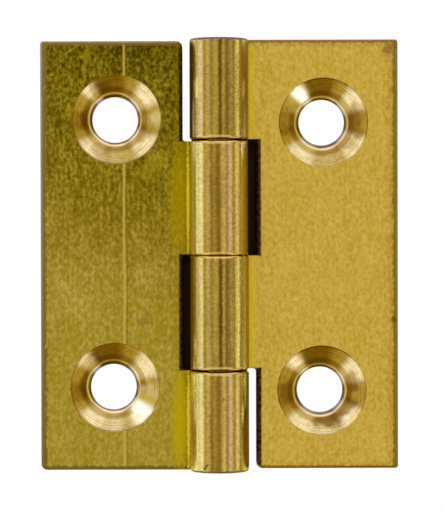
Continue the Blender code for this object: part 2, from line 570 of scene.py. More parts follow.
@dataclass(frozen=True)
class KnuckleFinish:
    """Brass sheet burnished by the rolling die, with bands of painted reflection round the pin.

    It gives a smoother, brighter metal than the flat sheet, with fine lines along the barrel.
    """

    name: str
    reflection_bands: tuple[tuple[float, str], ...]  # degrees from the barrel's top towards its leaf, colour: the brass's colour with painted reflections
    roughness: float
    marks: tuple[Mark, ...] = ()
    seed: float = 0.0
    root_roughness: float = 0.42  # where the die let go of the sheet, beside the leaf
    root: tuple[float, float] = (52.0, 64.0)  # degrees from the barrel's top, start and full
    wander: float = 5.0  # degrees, how far the noise shifts the painted reflection bands in all
    wander_scale: float = 3.4  # per mm
    streak_stretch: float = 0.06  # of the die's streaks, along the pin
    streak_scale: float = 4.5  # per mm
    specks: float = 1.3  # share of the specks, against 1 for the streaks
    speck_scale: float = 5.5  # per mm
    tones: tuple[float, float] = (0.75, 1.21)  # darkest and lightest, against the painted reflection bands
    bump: float = 0.3  # strength of the relief
    bump_depth: float = 0.006  # mm

    def material(self) -> bpy.types.Material:
        """Makes the material.

        Returns:
            The material for the rolled faces of a leaf.
        """
        material, tree = start_material(self.name)
        place = add_node(tree, "Attribute", attribute_name=SHEET_ATTRIBUTE).outputs["Vector"]
        parts = add_node(tree, "SeparateXYZ", {0: place})
        roll_radius = LEAF.axis_height - LEAF.thickness / 2
        round_pin = 2 * math.pi * roll_radius
        turned = add_node(tree, "Math", {0: parts, 1: round_pin}, operation="DIVIDE")
        waves = {"Vector": place, "Scale": self.wander_scale, "Detail": 2.0}
        wander = add_node(tree, "TexNoise", waves)
        shifts = {0: wander, 1: self.wander / 360, 2: turned}
        wandered = add_node(tree, "Math", shifts, operation="MULTIPLY_ADD")
        centred = add_node(tree, "Math", {0: wandered, 1: self.wander / 720}, operation="SUBTRACT")
        # The bands paint the reflections that the barrel shows from above, by the angle round it.
        stops = ((0.5 + degrees / 360, tint) for degrees, tint in sorted(self.reflection_bands))
        ramp = add_ramp(tree, centred, stops)
        drawn = {"Location": (self.seed, self.seed, 0.0), "Scale": (1.0, self.streak_stretch, 1.0)}
        streak_place = add_node(tree, "Mapping", {"Vector": place, **drawn})
        streaks = {"Scale": self.streak_scale, "Detail": 3.0, "Roughness": 0.65}
        streak = add_node(tree, "TexNoise", {"Vector": streak_place, **streaks})
        specks = {"Scale": self.speck_scale, "Detail": 2.0}
        speck = add_node(tree, "TexNoise", {"Vector": place, **specks})
        layers = {0: speck, 1: self.specks, 2: streak}
        tone = add_node(tree, "Math", layers, operation="MULTIPLY_ADD")
        darkest, lightest = self.tones
        span = {"From Min": 0.85, "From Max": 1.45, "To Min": darkest, "To Max": lightest}
        shade = add_node(tree, "MapRange", {"Value": tone, **span})
        colour = blend_colours(tree, 1.0, ramp, shade, "MULTIPLY")
        for mark in self.marks:
            colour = mark.lay_over(tree, place, colour)
        start, full = (0.5 + degrees / 360 for degrees in self.root)
        duller = fade(tree, turned, start, full, self.root_roughness)
        duller.inputs["To Min"].default_value = self.roughness
        bump = {"Strength": self.bump, "Distance": self.bump_depth * MM, "Height": tone}
        relief = add_node(tree, "Bump", bump)
        finish_metal(tree, colour, duller, relief)
        return material


@dataclass(frozen=True)
class LinedFinish:
    """Brass with fine lines that a tool drew along it.

    It gives a metal that is streaked one way, in two shades.
    """

    name: str
    dark: str
    light: str
    roughness: float
    stretch: tuple[float, float, float]  # of the pattern, least along the lines
    fineness: float  # lines per mm
    raggedness: float  # of the noise
    strength: float  # of the relief
    depth: float  # mm, of the relief

    def material(self) -> bpy.types.Material:
        """Makes the material.

        Returns:
            The material for the faces with the lines.
        """
        material, tree = start_material(self.name)
        place = add_node(tree, "TexCoord").outputs["Object"]
        per_mm = tuple(share / MM for share in self.stretch)
        drawn = add_node(tree, "Mapping", {"Vector": place, "Scale": per_mm})
        pattern = {"Scale": self.fineness, "Detail": 3.0, "Roughness": self.raggedness}
        line = add_node(tree, "TexNoise", {"Vector": drawn, **pattern})
        share = add_node(tree, "MapRange", {"Value": line, "From Min": 0.35, "From Max": 0.65})
        colour = blend_colours(tree, share, linear(self.dark), linear(self.light))
        bump = {"Strength": self.strength, "Distance": self.depth * MM, "Height": line}
        finish_metal(tree, colour, self.roughness, add_node(tree, "Bump", bump))
        return material


@dataclass(frozen=True)
class EdgeFinish(LinedFinish):
    """Sheared and tumbled brass edge, browned by handling.

    It gives a duller, greyer band round the golden faces; in the slots, a darker copy of it is
    painted shade.
    """

    roughness: float = 0.5
    stretch: tuple[float, float, float] = (1.0, 1.0, 0.25)
    fineness: float = 4.0
    raggedness: float = 0.6
    strength: float = 0.4
    depth: float = 0.01


@dataclass(frozen=True)
class WireFinish(LinedFinish):
    """Drawn brass wire, cropped to length.

    It gives a smooth pin with fine lines along it.
    """

    name: str = "drawn_brass_wire"
    dark: str = "9c7c3c"
    light: str = "c8a860"
    roughness: float = 0.3
    stretch: tuple[float, float, float] = (1.0, 0.05, 1.0)
    fineness: float = 7.0
    raggedness: float = 0.5
    strength: float = 0.3
    depth: float = 0.005


@dataclass(frozen=True)
class Ring:
    """A ring of another tint in a countersink."""

    start: float  # mm from the axis, where the tint begins
    full: float  # mm from the axis, from where on the tint has its full share
    tint: str
    share: float


@dataclass(frozen=True)
class CountersinkFinish:
    """Countersink turned by a chattering cutter after tumbling, so it is the brightest brass.

    It gives concentric rings, and a sheen that fans out from the hole, partly from the studio's
    light and partly painted as highlights and shade.
    """

    name: str
    centre: tuple[float, float]  # mm, of the cone, in the frame
    drift: float  # mm, of the hole from the cone's centre, along X
    painted_sheens: tuple[Mark, ...] = ()  # from the cone's axis: painted shade and highlights in the fanned sheen
    sheen_fraying: float = 1.3  # per mm
    bright: str = "f8ecc8"
    dull: str = "d0b264"
    stain: str = "b8984a"
    stain_scale: float = 3.2  # per mm
    # Painted shade: a dark olive line inside the cone's crisp edge, in place of the shading of a
    # rounded edge.
    rim: Ring = Ring(3.02, 3.1, "7a5a20", 0.6)
    groove: Ring = Ring(2.42, 2.16, "a8883c", 0.78)  # round the lip, where the cutter's tip ran
    # Painted highlight: a pale ring on the burr round the hole, which stands up into the light;
    # its relief is the lip's rise below.
    lip: Ring = Ring(1.92, 1.84, "e8d4a4", 0.8)
    burr: Ring = Ring(1.78, 1.72, "8c7c78", 1.0)
    roughness: float = 0.15
    ring_pitch: float = 0.09  # mm; the cutter's real feed marks are finer than a pixel
    ring_relief: float = 0.0024  # mm
    chatter: float = 0.5  # mm, how far the rings wander
    chatter_scale: float = 0.5  # per mm
    lip_rise: tuple[float, float] = (1.98, 1.76)  # mm, radii of the burr's foot and top
    lip_relief: float = 0.025  # mm, how far the burr round the hole stands up

    def lay_ring(self, tree: Tree, radius: Source, ring: Ring, colour: Source) -> Source:
        """Lays a ring over a colour, by the distance in millimetres from its axis."""
        mask = fade(tree, radius, ring.start, ring.full, ring.share)
        return blend_colours(tree, mask, colour, linear(ring.tint))

    def place_from(self, tree: Tree, x: float, y: float) -> Source:
        """Measures each point's place beside an upright axis.

        Args:
            tree: Node tree of the material.
            x: X of the axis, in millimetres.
            y: Y of the axis, in millimetres.

        Returns:
            Source of the place across the axis, in millimetres.
        """
        across = {"Location": (-x, -y, 0.0), "Scale": (1 / MM, 1 / MM, 0.0)}
        place = add_node(tree, "TexCoord").outputs["Object"]
        return add_node(tree, "Mapping", {"Vector": place, **across})

    def radius_from(self, tree: Tree, x: float, y: float) -> Source:
        """Measures the distance from an upright axis, in millimetres."""
        place = self.place_from(tree, x, y)
        return add_node(tree, "VectorMath", {0: place}, operation="LENGTH").outputs["Value"]

    def material(self) -> bpy.types.Material:
        """Makes the material.

        Returns:
            The material for the cone and the hole below it.
        """
        material, tree = start_material(self.name)
        cone_radius = self.radius_from(tree, *self.centre)
        hole_radius = self.radius_from(tree, self.centre[0] + self.drift, self.centre[1])
        place = add_node(tree, "TexCoord").outputs["Object"]
        drift = add_node(tree, "TexNoise", {"Vector": place, "Scale": self.chatter_scale / MM})
        chatter = add_node(
            tree, "Math", {0: drift, 1: self.chatter, 2: cone_radius}, operation="MULTIPLY_ADD"
        )
        feed = {"W": chatter, "Scale": 1 / self.ring_pitch, "Detail": 4.0, "Roughness": 0.65}
        wobble = add_node(tree, "TexNoise", feed, noise_dimensions="1D")
        shade = add_node(tree, "MapRange", {"Value": wobble, "From Min": 0.3, "From Max": 0.7})
        colour = blend_colours(tree, shade, linear(self.dull), linear(self.bright))
        stains = {"Scale": self.stain_scale / MM, "Detail": 3.0, "Roughness": 0.6}
        blotch = add_node(tree, "TexNoise", {"Vector": place, **stains})
        stained = add_node(
            tree, "MapRange", {"Value": blotch, "From Min": 0.42, "From Max": 0.7, "To Max": 0.55}
        )
        colour = blend_colours(tree, stained, colour, linear(self.stain))
        colour = self.lay_ring(tree, cone_radius, self.rim, colour)
        colour = self.lay_ring(tree, hole_radius, self.groove, colour)
        place_on_cone = self.place_from(tree, *self.centre)
        # Painted shade and highlights in the fanned sheen.
        for painted_sheen in self.painted_sheens:
            colour = painted_sheen.lay_over(tree, place_on_cone, colour, self.sheen_fraying)
        for ring in (self.lip, self.burr):
            colour = self.lay_ring(tree, hole_radius, ring, colour)
        turned = {"Strength": 0.7, "Distance": self.ring_relief * MM, "Height": wobble}
        relief = add_node(tree, "Bump", turned)
        rise = fade(tree, hole_radius, *self.lip_rise)
        raised = {"Distance": self.lip_relief * MM, "Height": rise, "Normal": relief}
        finish_metal(tree, colour, self.roughness, add_node(tree, "Bump", raised))
        return material


LEAF = SheetSizes()
EDGES = EdgeSizes()


@dataclass
class Leaf:
    """One stamped leaf with its two rolled knuckles and two countersunk holes."""

    name: str
    side: Side
    node: str
    body: str
    slot: str
    sheet_finish: SheetFinish
    knuckle_finish: KnuckleFinish
    edge_finish: EdgeFinish
    # Painted shade: a dark finish for the faces that roll over into the slots, which the barrel
    # shades.
    slot_shade_finish: EdgeFinish
    outer_corner: float
    painted_sheens: tuple[tuple[Mark, ...], ...]  # painted shade and highlights on each hole's cone
    sizes: SheetSizes = LEAF
    edges: EdgeSizes = EDGES
    holes: tuple[ScrewHole, ...] = (ScrewHole(7.16, 9.52), ScrewHole(7.31, -9.22))
    edge_segments: int = 6
    roll_steps: int = 96
    hole_sides: int = 144

    def build(self) -> bpy.types.Object:
        """Models the leaf, dresses it and puts it on its body.

        Returns:
            The finished leaf.
        """
        leaf = self.stamp()
        self.round_edges(leaf)
        self.roll(leaf)
        self.drill(leaf)
        self.smooth(leaf)
        self.mark_sheet(leaf)
        self.dress(leaf)
        self.place(leaf)
        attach(leaf, self.body)
        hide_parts(self.node)
        return leaf

    def stamp(self) -> bpy.types.Object:
        """Makes the flat blank with its two tongues reaching to the axis.

        Returns:
            The blank, lying on Z = 0 to the left of the axis.
        """
        s = self.sizes
        width = s.reach - s.slot_edge
        bpy.ops.mesh.primitive_cube_add(
            size=1.0,
            location=(-(s.reach + s.slot_edge) / 2 * MM, 0.0, s.thickness / 2 * MM),
            scale=(width * MM, s.length * MM, s.thickness * MM),
        )
        leaf = bpy.context.object
        leaf.name = self.name
        leaf.data.name = self.name
        settle(leaf)
        work_on(leaf)
        half = s.length / 2
        for y in sorted({end for tongue in s.tongues for end in tongue if abs(end) < half}):
            bpy.ops.mesh.select_all(action="SELECT")
            bpy.ops.mesh.bisect(plane_co=(0.0, y * MM, 0.0), plane_no=(0.0, 1.0, 0.0))

        def at_root(face: bmesh.types.BMFace) -> bool:
            """Says whether a face is one that a tongue grows from."""
            middle_of_face = face.calc_center_median() / MM
            return abs(middle_of_face.x + s.slot_edge) < CLOSE and any(
                low < middle_of_face.y < high for low, high in s.tongues
            )

        pick(leaf, Element.FACE, at_root)
        bpy.ops.mesh.extrude_region_move(
            TRANSFORM_OT_translate={"value": (s.slot_edge * MM, 0.0, 0.0)}
        )
        stop_work()
        return leaf

    def corner_radius(self, point: Vector) -> float:
        """Works out how far an upright corner of the blank is rounded, seen from above.

        Args:
            point: Middle of the corner's upright edge, in millimetres.

        Returns:
            Radius in millimetres, 0 for an upright edge that isn't at a corner.
        """
        s = self.sizes
        e = self.edges
        half = s.length / 2
        at_end = abs(point.y) > half - CLOSE
        if abs(point.x + s.reach) < CLOSE:
            return self.outer_corner if point.y < 0 else e.crisp_corner
        if abs(point.x + s.slot_edge) < CLOSE:
            if at_end:
                return e.mouth_corner if point.y > 0 else 0.0
            return e.root_corner
        return 0.0

    def edge_radius(self, edge: bmesh.types.BMEdge) -> float:
        """Works out how far the edge of the sheet is rounded at one place.

        Args:
            edge: An edge of the blank.

        Returns:
            Radius in millimetres, 0 for an edge that isn't on the outline.
        """
        s = self.sizes
        e = self.edges
        tilts = {abs(round(face.normal.z)) for face in edge.link_faces}
        point = middle(edge)
        if abs(point.x) < CLOSE:
            return 0.0
        if tilts == {0} and edge.calc_face_angle() > FLAT:
            return self.corner_radius(point)
        if tilts != {0, 1}:
            return 0.0
        front = point.z > s.thickness / 2
        half = s.length / 2
        if point.x > CLOSE - s.slot_edge:
            if front:
                return e.bore
            return e.outer_lip if abs(point.y) > half - CLOSE else e.inner_lip
        if front and abs(point.x + s.slot_edge) < CLOSE:
            return e.slot_front
        return e.front if front else e.back

    def round_edges(self, leaf: bpy.types.Object) -> None:
        """Rounds the sheet's edges all round the blank.

        Args:
            leaf: The blank.
        """
        e = self.edges
        widest = max(e.outer_lip, e.slot_front, e.worn_corner, e.mouth_corner)
        cage = bmesh.new()
        cage.from_mesh(leaf.data)
        weights = cage.edges.layers.float.new("bevel_weight_edge")
        for edge in cage.edges:
            edge[weights] = self.edge_radius(edge) / widest
        cage.to_mesh(leaf.data)
        cage.free()
        tumbled = leaf.modifiers.new("tumbled_edges", "BEVEL")
        tumbled.width = widest * MM
        tumbled.segments = self.edge_segments
        tumbled.limit_method = "WEIGHT"
        tumbled.use_clamp_overlap = False
        apply_all(leaf)

    def roll(self, leaf: bpy.types.Object) -> None:
        """Rolls the tongues round the pin.

        Args:
            leaf: The blank.
        """
        s = self.sizes
        work_on(leaf)

        def at_axis(face: bmesh.types.BMFace) -> bool:
            """Says whether a face is the flat end of a tongue."""
            return abs(face.calc_center_median().x) < CLOSE * MM and face.normal.x > 0.9

        pick(leaf, Element.FACE, at_axis)
        bpy.ops.mesh.spin(
            steps=self.roll_steps,
            angle=s.roll_angle,
            center=(0.0, 0.0, s.axis_height * MM),
            axis=(0.0, 1.0, 0.0),
        )
        bpy.ops.mesh.select_all(action="SELECT")
        bpy.ops.mesh.remove_doubles(threshold=0.0005 * MM)
        bpy.ops.mesh.normals_make_consistent(inside=False)
        stop_work()

    def drill(self, leaf: bpy.types.Object) -> None:
        """Drills and countersinks the screw holes.

        Args:
            leaf: The rolled leaf.
        """
        s = self.sizes
        clear = CUT_CLEARANCE
        towards_left = -self.side.value
        for hole in self.holes:
            slope = math.tan(math.radians(hole.cone_angle / 2))
            rim = hole.rim_diameter / 2
            tip = hole.diameter / 2 - 2 * hole.drift
            floor = s.thickness - (rim - tip) / slope
            drilled_x = -hole.from_axis - towards_left * hole.drift
            bpy.ops.mesh.primitive_cylinder_add(
                vertices=self.hole_sides,
                radius=hole.diameter / 2 * MM,
                depth=(s.thickness + 2 * clear) * MM,
                location=(drilled_x * MM, hole.along * MM, s.thickness / 2 * MM),
            )
            drill_bit = bpy.context.object
            bpy.ops.mesh.primitive_cone_add(
                vertices=self.hole_sides,
                radius1=tip * MM,
                radius2=(rim + clear * slope) * MM,
                depth=(s.thickness + clear - floor) * MM,
                location=(
                    -hole.from_axis * MM,
                    hole.along * MM,
                    (s.thickness + clear + floor) / 2 * MM,
                ),
            )
            countersink = bpy.context.object
            for cutter in (drill_bit, countersink):
                cut = leaf.modifiers.new("cut", "BOOLEAN")
                cut.object = cutter
                cut.solver = "EXACT"
            apply_all(leaf)
            bpy.data.objects.remove(drill_bit)
            bpy.data.objects.remove(countersink)

    def smooth(self, leaf: bpy.types.Object) -> None:
        """Shades the rounded edges smooth and keeps the flat faces flat.

        Args:
            leaf: The drilled leaf.
        """
        select_only(leaf)
        bpy.ops.object.shade_smooth_by_angle(angle=SHARP)
        even = leaf.modifiers.new("even_shading", "WEIGHTED_NORMAL")
        even.keep_sharp = True
        even.weight = 80
        apply_all(leaf)

    def mark_sheet(self, leaf: bpy.types.Object) -> None:
        """Stores each point's place on the flat sheet, which the finishes follow round the roll.

        Args:
            leaf: The leaf, still to the left of the axis.
        """
        s = self.sizes
        roll_radius = s.axis_height - s.thickness / 2
        places = leaf.data.attributes.new(SHEET_ATTRIBUTE, "FLOAT_VECTOR", "POINT")
        for vertex, place in zip(leaf.data.vertices, places.data):
            x, y, z = vertex.co / MM
            if x > CLOSE or z > s.thickness + CLOSE:
                angle = math.atan2(x, s.axis_height - z) % (2 * math.pi)
                across = roll_radius * angle
            else:
                across = x
            place.vector = (across, y, z)

    def dress(self, leaf: bpy.types.Object) -> None:
        """Gives each face of the leaf its finish.

        Args:
            leaf: The leaf, still to the left of the axis.
        """
        s = self.sizes
        faces = (self.sheet_finish, self.knuckle_finish, self.edge_finish, self.slot_shade_finish)
        materials = [finish.material() for finish in faces]
        for hole, painted_sheens in zip(self.holes, self.painted_sheens):
            turned = -self.side.value
            centre = (-turned * hole.from_axis, turned * hole.along)
            name = f"turned_brass_{self.name}_{len(materials) - len(faces) + 1}"
            finish = CountersinkFinish(name, centre, -hole.drift, painted_sheens)
            materials.append(finish.material())
        for material in materials:
            leaf.data.materials.append(material)
        for face in leaf.data.polygons:
            x, y, z = face.center / MM
            index = 0
            if x > CLOSE or z > s.thickness + CLOSE:
                index = 2 if self.is_barrel_end(face) else 1
            elif self.rolls_over(face):
                index = 3
            elif abs(face.normal.z) < 0.6:
                index = 2
            for number, hole in enumerate(self.holes):
                apart = math.hypot(x + hole.from_axis, y - hole.along)
                if apart < hole.rim_diameter / 2 and abs(face.normal.z) < 0.98:
                    index = 4 + number
            face.material_index = index

    def is_barrel_end(self, face: bpy.types.MeshPolygon) -> bool:
        """Says whether a face is on the sheared edge at an end of the whole barrel."""
        past_inner = abs(face.center.y / MM) > self.sizes.length / 2 - self.edges.outer_lip
        return past_inner and abs(face.normal.y) > 0.3

    def rolls_over(self, face: bpy.types.MeshPolygon) -> bool:
        """Says whether a face is where the punch dragged the front down into a slot."""
        apart = abs(face.center.x / MM + self.sizes.slot_edge)
        return apart < self.edges.slot_front + CLOSE and 0.1 < face.normal.z < 0.97

    def place(self, leaf: bpy.types.Object) -> None:
        """Turns the leaf to its side of the pin and slides it to where its node is.

        Args:
            leaf: The dressed leaf.
        """
        low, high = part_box(self.node)
        leaf.rotation_euler.z = math.pi if self.side is Side.RIGHT else 0.0
        leaf.location.y = (low.y + high.y) / 2
        settle(leaf)


@dataclass
class Pin:
    """The wire pin inside the knuckles."""

    name: str = "pin_wire"
    node: str = "hinge_pin"
    body: str = "left"
    slot: str = "pin_brass"
    sides: int = 96
    chamfer: float = 0.15
    finish: WireFinish = field(default_factory=WireFinish)

    def build(self) -> bpy.types.Object:
        """Models the pin, dresses it and puts it on its body.

        Returns:
            The finished pin.
        """
        low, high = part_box(self.node)
        centre = (low + high) / 2
        bpy.ops.mesh.primitive_cylinder_add(
            vertices=self.sides,
            radius=(high.z - low.z) / 2,
            depth=high.y - low.y,
            location=centre,
            rotation=(math.pi / 2, 0.0, 0.0),
        )
        pin = bpy.context.object
        pin.name = self.name
        settle(pin)
        work_on(pin)

        def on_end(edge: bmesh.types.BMEdge) -> bool:
            """Says whether an edge runs round one end of the pin."""
            return abs(edge.verts[0].co.y - edge.verts[1].co.y) < CLOSE * MM

        pick(pin, Element.EDGE, on_end)
        bpy.ops.mesh.bevel(offset=self.chamfer * MM, segments=4, affect="EDGES")
        stop_work()
        select_only(pin)
        bpy.ops.object.shade_smooth_by_angle(angle=math.radians(30))
        pin.data.materials.append(self.finish.material())
        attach(pin, self.body)
        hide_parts(self.node)
        return pin


@dataclass(frozen=True)
class Softbox:
    """A soft patch of the studio's light, brighter or darker than the rest."""

    azimuth: float  # degrees from +X towards +Y
    elevation: float  # degrees above the floor
    core: float  # degrees from its middle, within which it has its full strength
    rim: float  # degrees from its middle, where it ends
    strength: float

    @property
    def direction(self) -> Vector:
        """Direction from the hinge to the middle of the patch."""
        turn = math.radians(self.azimuth)
        rise = math.radians(self.elevation)
        return Vector(
            (math.cos(rise) * math.cos(turn), math.cos(rise) * math.sin(turn), math.sin(rise))
        )


@dataclass(frozen=True)
class Studio:
    """Pale floor, soft light from all round and the camera above."""

    level: float = 0.5  # strength of the light from all round, which the patches add to
    softboxes: tuple[Softbox, ...] = (
        Softbox(90.0, 90.0, 36.0, 62.0, 0.42),
        Softbox(216.0, 28.0, 6.0, 21.0, 0.75),
        Softbox(138.0, 28.0, 4.0, 22.0, 0.76),
        Softbox(54.0, 28.0, 6.0, 23.0, 0.71),
        Softbox(312.0, 28.0, 3.0, 13.0, 0.94),
        Softbox(281.0, 30.0, 14.0, 28.0, -0.28),
        Softbox(4.0, 27.0, 9.0, 18.0, -0.2),
        Softbox(96.0, 28.0, 8.0, 24.0, 0.23),
        Softbox(90.0, 50.0, 6.0, 24.0, 0.5),
        Softbox(180.0, 6.0, 8.0, 24.0, 0.7),
        Softbox(0.0, 13.0, 5.0, 16.0, 0.4),
        Softbox(90.0, 90.0, 2.0, 7.0, -0.3),
    )
    brightest: float = 1.3  # strength of the light at the last of the tints
    tints: tuple[tuple[float, str], ...] = (
        (0.2, "ffc800"),
        (0.6, "ffe468"),
        (0.88, "fff8e8"),
        (1.0, "ffffff"),
    )  # strength of the light from one direction, colour: dim parts of the room are warm
    floor_size: float = 1.6  # m
    floor_drop: float = 0.02  # mm below the leaves' backs
    floor_colour: str = "f0f0f0"
    # Painted shade: dark brown on the floor under the barrel and in the closed slots.
    floor_shade_colour: str = "3a2808"
    glow: float = 1.04
    whiteness: float = 0.94  # share of the glow in what the camera sees of the floor
    slot_area: float = 1.2  # mm, half width of the floor that a closed slot shuts off
    slot_spare: float = 0.2  # mm, how far that floor goes past each end of a knuckle
    barrel_inset: float = 0.1  # mm, how far the barrel's floor stays inside its outline
    shelter: tuple[float, float] = (0.7, 0.48)  # openness where the dark begins and is full
    shelter_reach: float = 4.0  # mm, how far off a wall still shelters the floor
    camera_height: float = 181.1  # mm
    aim: tuple[float, float, float] = (0.19, 0.03, 1.1)  # mm
    roll: float = 0.14  # degrees
    stand_y: float = 2.6  # mm, the camera stands over this Y
    lens: float = 182.0  # mm
    sensor: float = 36.0  # mm

    def light(self) -> None:
        """Makes the studio's light from soft patches all round."""
        world = bpy.data.worlds.new("studio")
        bpy.context.scene.world = world
        world.use_nodes = True
        tree = world.node_tree
        background = tree.nodes["Background"]
        ray = add_node(tree, "TexCoord").outputs["Generated"]
        total: Any = self.level
        for box in self.softboxes:
            towards = {0: ray, 1: box.direction}
            nearness = add_node(tree, "VectorMath", towards, operation="DOT_PRODUCT")
            rim, core = (math.cos(math.radians(angle)) for angle in (box.rim, box.core))
            patch = fade(tree, nearness.outputs["Value"], rim, core, box.strength)
            total = add_node(tree, "Math", {0: total, 1: patch}, operation="ADD")
        rays = add_node(tree, "LightPath")
        seen = add_node(
            tree, "Mix", {0: rays.outputs["Is Camera Ray"], 2: total, 3: 1.0}, data_type="FLOAT"
        )
        share = add_node(tree, "Math", {0: seen, 1: self.brightest}, operation="DIVIDE")
        stops = ((strength / self.brightest, tint) for strength, tint in self.tints)
        warmth = add_ramp(tree, share, stops)
        connect(tree, background, {"Color": warmth, "Strength": seen})

    def lay_floor(self) -> None:
        """Lays the pale floor, which stays white but keeps the hinge's shadow, with painted shade:
        dark brown and without its glow under the barrel and in the closed slots.
        """
        bpy.ops.mesh.primitive_plane_add(
            size=self.floor_size, location=(0.0, 0.0, -self.floor_drop * MM)
        )
        floor = bpy.context.object
        floor.name = "floor"
        settle(floor)
        material, tree = start_material("pale_floor")
        tree.nodes.clear()
        hidden = self.hidden_floor(tree)
        paper = blend_colours(tree, hidden, linear(self.floor_colour), linear(self.floor_shade_colour))
        matt = add_node(tree, "BsdfDiffuse", {"Color": paper})
        glow = add_node(tree, "Emission", {"Strength": self.glow})
        rays = add_node(tree, "LightPath").outputs
        seen: Source = rays["Is Camera Ray"]
        for other in (rays["Is Glossy Ray"], rays["Is Transmission Ray"]):
            seen = add_node(tree, "Math", {0: seen, 1: other}, operation="MAXIMUM")
        share = add_node(tree, "Math", {0: seen, 1: self.whiteness}, operation="MULTIPLY")
        shown = {0: share, 1: hidden}
        open_share = add_node(tree, "Math", shown, operation="SUBTRACT", use_clamp=True)
        mixed = add_node(tree, "MixShader", {0: open_share, 1: matt, 2: glow})
        add_node(tree, "OutputMaterial", {"Surface": mixed})
        floor.data.materials.append(material)

    def hidden_floor(self, tree: Tree) -> Source:
        """Finds the floor that the barrel and the closed slots beside it shut off from light.

        Args:
            tree: Node tree of the floor.

        Returns:
            Socket that is 0 on open floor, and 1 where hardly any light reaches it.
        """
        place = add_node(tree, "TexCoord").outputs["Object"]
        parts = add_node(tree, "SeparateXYZ", {0: place}).outputs
        slot_x = LEAF.axis_height + LEAF.slot_clearance / 2
        knuckle = LEAF.inner_knuckle / 2
        wide, high = self.slot_area, knuckle + self.slot_spare
        areas = (
            (slot_x, knuckle, wide, high),
            (-slot_x, -knuckle, wide, high),
            (0.0, 0.0, LEAF.axis_height - self.barrel_inset, LEAF.length / 2 - self.barrel_inset),
        )
        shut: Any = 0.0
        for x, y, reach_x, reach_y in areas:
            beside, inside = (
                add_node(tree, "Math", {0: part, 1: at * MM, 2: reach * MM}, operation="COMPARE")
                for part, at, reach in ((parts[0], x, reach_x), (parts[1], y, reach_y))
            )
            both = add_node(tree, "Math", {0: beside, 1: inside}, operation="MINIMUM")
            shut = add_node(tree, "Math", {0: shut, 1: both}, operation="MAXIMUM")
        near = {"Distance": self.shelter_reach * MM}
        shelter = add_node(tree, "AmbientOcclusion", near, samples=12)
        dark = fade(tree, shelter.outputs["AO"], *self.shelter)
        return add_node(tree, "Math", {0: shut, 1: dark}, operation="MULTIPLY")

    def set_camera(self) -> None:
        """Puts the camera above the hinge, looking nearly straight down."""
        data = bpy.data.cameras.new("camera")
        data.sensor_fit = "AUTO"
        data.sensor_width = self.sensor
        data.lens = self.lens
        data.clip_start = 10 * MM
        data.clip_end = 10.0
        camera = bpy.data.objects.new("camera", data)
        bpy.context.scene.collection.objects.link(camera)
        aim = Vector(self.aim) * MM
        camera.location = (aim.x, self.stand_y * MM, self.camera_height * MM)
        forward = (aim - camera.location).normalized()
        right = forward.cross(Vector((0.0, 1.0, 0.0))).normalized()
        up = right.cross(forward)
        looking = Matrix((right, up, -forward)).transposed()
        tilt = Matrix.Rotation(math.radians(-self.roll), 3, "Z")
        camera.rotation_euler = (looking @ tilt).to_euler()
        bpy.context.scene.camera = camera

    def build(self) -> None:
        """Sets the light, the floor, the camera and the view transform."""
        self.light()
        self.lay_floor()
        self.set_camera()
        bpy.context.scene.view_settings.view_transform = "Standard"


# Painted shade and highlights in the fanned sheen of each countersink.
LEFT_CONE_SHEENS = (
    (
        Mark(-2.1, 0.0, 0.9, 0.5, 90.0, "8c681c", 0.7),
        Mark(-1.2, 2.05, 0.8, 0.7, 30.0, "8c681c", 0.6),
        Mark(1.8, -1.04, 0.8, 0.5, 60.0, "8c681c", 0.55),
        Mark(-1.2, -2.2, 0.8, 0.6, -30.0, "9a7430", 0.5),
        Mark(2.75, 0.1, 0.8, 0.4, 90.0, "fff8e4", 0.7),
    ),
    (
        Mark(-2.1, 0.0, 0.9, 0.5, 90.0, "8c681c", 0.7),
        Mark(-1.65, 1.65, 1.0, 0.7, 45.0, "8c681c", 0.55),
        Mark(2.05, -1.2, 1.5, 0.9, 60.0, "fff8e4", 0.9),
    ),
)
RIGHT_CONE_SHEENS = (
    (
        Mark(1.8, -1.05, 0.9, 0.6, 60.0, "7c5814", 0.75),
        Mark(0.6, -2.0, 1.3, 0.6, 14.0, "7c5814", 0.85),
        Mark(2.07, 0.55, 0.9, 0.6, 105.0, "8c681c", 0.7),
        Mark(-2.4, 0.0, 0.8, 0.7, 90.0, "8c681c", 0.55),
    ),
    (
        Mark(2.2, 0.1, 1.4, 0.6, 90.0, "8c681c", 0.65),
        Mark(1.75, -1.4, 0.7, 0.7, 51.0, "8c681c", 0.5),
        Mark(-1.7, 1.7, 1.1, 0.8, 45.0, "fff8e4", 0.8),
    ),
)
